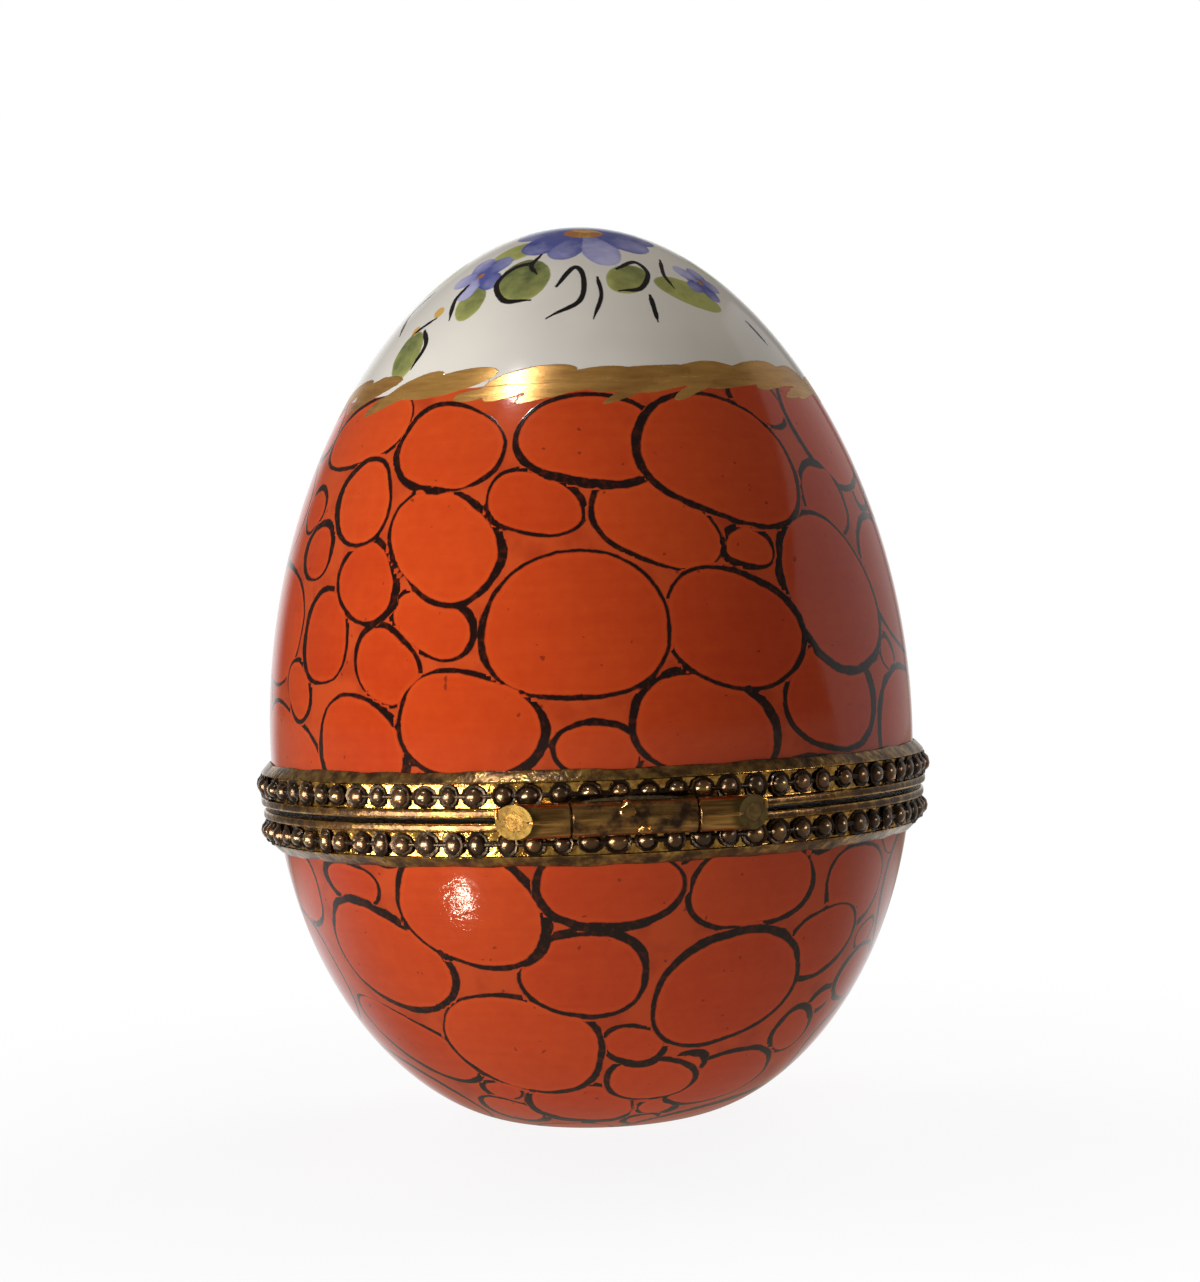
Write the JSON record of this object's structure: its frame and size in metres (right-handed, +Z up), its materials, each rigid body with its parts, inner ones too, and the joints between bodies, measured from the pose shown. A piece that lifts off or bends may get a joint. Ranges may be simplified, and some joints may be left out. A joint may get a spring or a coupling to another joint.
{
  "type": "hinged porcelain egg box",
  "caption": "Egg-shaped porcelain trinket box whose hollow lid and base sit in beaded brass bezels, joined by a knuckle hinge and shut by a clasp.",
  "frame": {"origin": "centre of the flat foot", "axes": "+Z up along the egg's axis, -Y towards the hinge, +Y towards the clasp, X along the hinge"},
  "size_m": [0.0434, 0.0459, 0.057],
  "materials": {
    "porcelain": "glossy glaze over paint",
    "cement": "matt",
    "bezel_brass": "antique, dark in the recesses",
    "hinge_brass": "rubbed bright"
  },
  "bodies": {
    "base": {"base_shell": "porcelain", "base_cement": "cement", "base_bezel": "bezel_brass", "base_pearl_wire": "bezel_brass", "base_knuckle": "hinge_brass", "clasp_catch": "hinge_brass"},
    "lid": {"lid_shell": "porcelain", "lid_cement": "cement", "lid_bezel": "bezel_brass", "lid_pearl_wire": "bezel_brass", "lid_knuckle_left": "hinge_brass", "lid_knuckle_right": "hinge_brass", "hinge_pin": "hinge_brass", "clasp_tongue": "bezel_brass", "clasp_boss": "hinge_brass"}
  },
  "joints": [
    {"name": "lid_hinge", "type": "hinge", "parent": "base", "child": "lid", "pos_m": [0, -0.02163, 0.0206], "axis": [1, 0, 0], "range_deg": [0, 110]}
  ]
}
